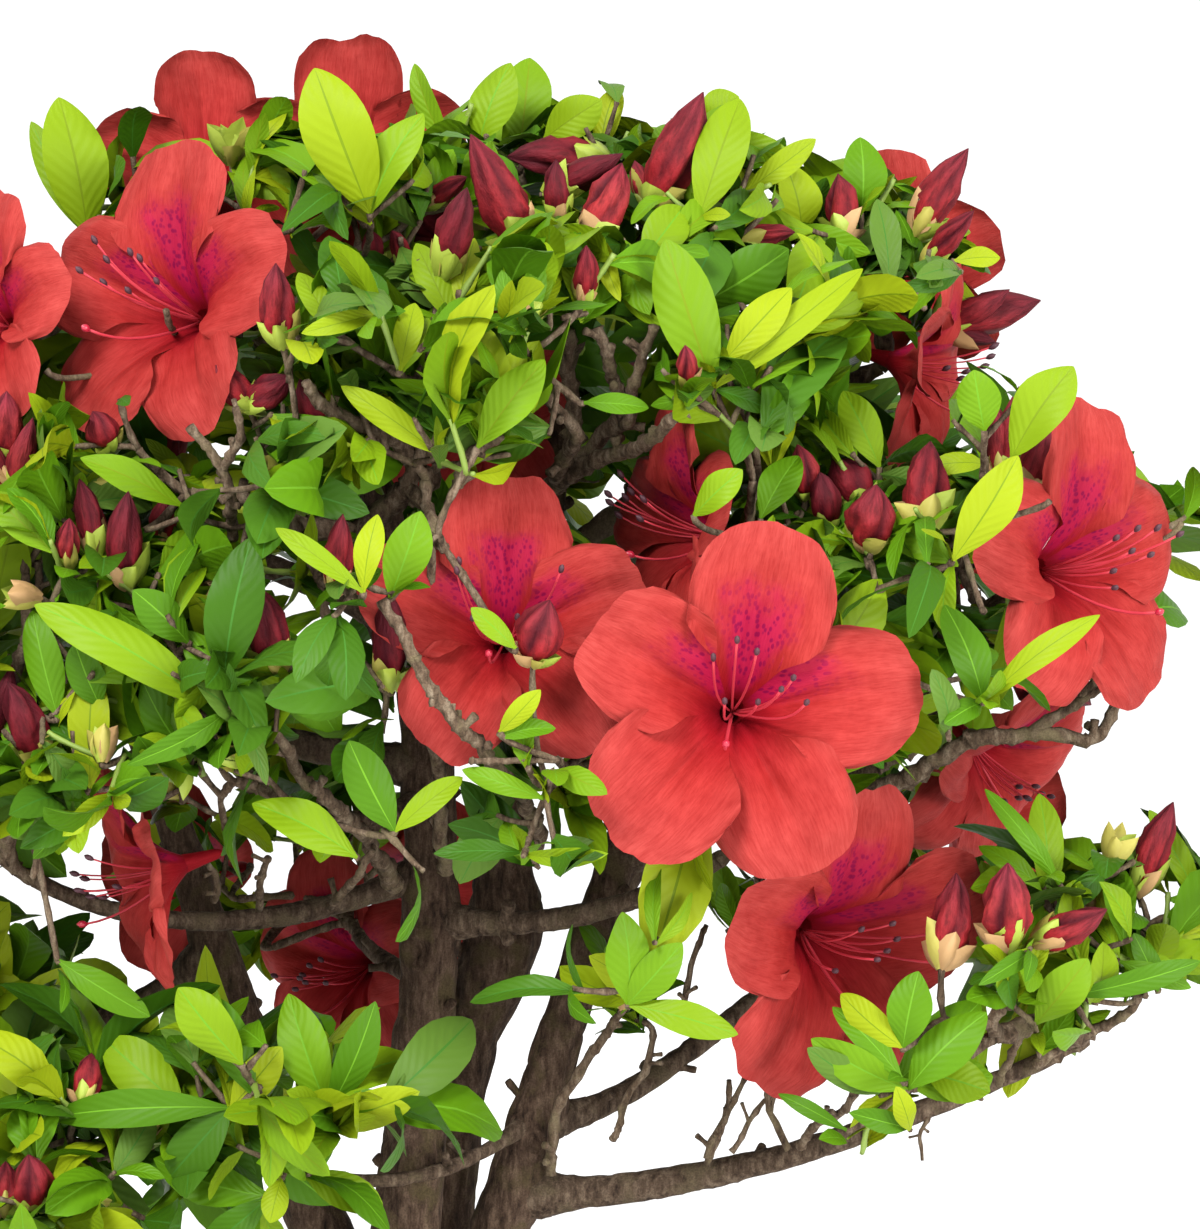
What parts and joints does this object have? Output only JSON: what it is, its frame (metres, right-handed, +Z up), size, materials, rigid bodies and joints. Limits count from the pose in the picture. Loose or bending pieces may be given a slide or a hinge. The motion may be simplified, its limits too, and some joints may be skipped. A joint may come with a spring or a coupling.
{
  "type": "azalea shrub",
  "caption": "Small azalea shrub in flower: a clump of stems on a flared root crown, boughs, and masses of leaves, buds and open flowers, cut flat at ground level.",
  "frame": {"origin": "middle of the root crown's flat cut, at ground level", "axes": "+Z up along the stems, -Y towards the side with the listed open flowers, +X to the right seen from there"},
  "size_m": [0.3254, 0.223, 0.2823],
  "materials": {
    "bark": "rough mottled grey-brown bark",
    "root_bark": "rough mottled grey-brown bark with moss tints",
    "foliage": "satin green leaves, with coral red flowers and crimson buds"
  },
  "bodies": {
    "root": {"back_bough": "bark", "back_foliage": "foliage", "back_left_bough": "bark", "back_left_foliage": "foliage", "back_right_bough": "bark", "back_right_foliage": "foliage", "crossing_bough": "bark", "crossing_foliage": "foliage", "foot_left_bough": "bark", "foot_left_foliage": "foliage", "front_bough": "bark", "front_left_bough": "bark", "front_low_bough": "bark", "front_low_foliage": "foliage", "front_middle_foliage": "foliage", "front_right_bough": "bark", "front_right_foliage": "foliage", "front_stem": "bark", "left_front_foliage": "foliage", "left_side_foliage": "foliage", "left_stem": "bark", "low_back_bough": "bark", "low_back_foliage": "foliage", "low_left_bough": "bark", "low_left_foliage": "foliage", "lower_right_bough": "bark", "lower_right_foliage": "foliage", "mid_left_bough": "bark", "middle_left_foliage": "foliage", "middle_right_foliage": "foliage", "rear_right_bough": "bark", "rear_right_foliage": "foliage", "rear_stem": "bark", "right_bough": "bark", "right_side_foliage": "foliage", "right_stem": "bark", "root_crown": "root_bark", "top_left_foliage": "foliage", "top_middle_foliage": "foliage", "top_right_foliage": "foliage", "upper_left_bough": "bark", "upper_left_foliage": "foliage", "upper_right_bough": "bark"}
  },
  "joints": []
}
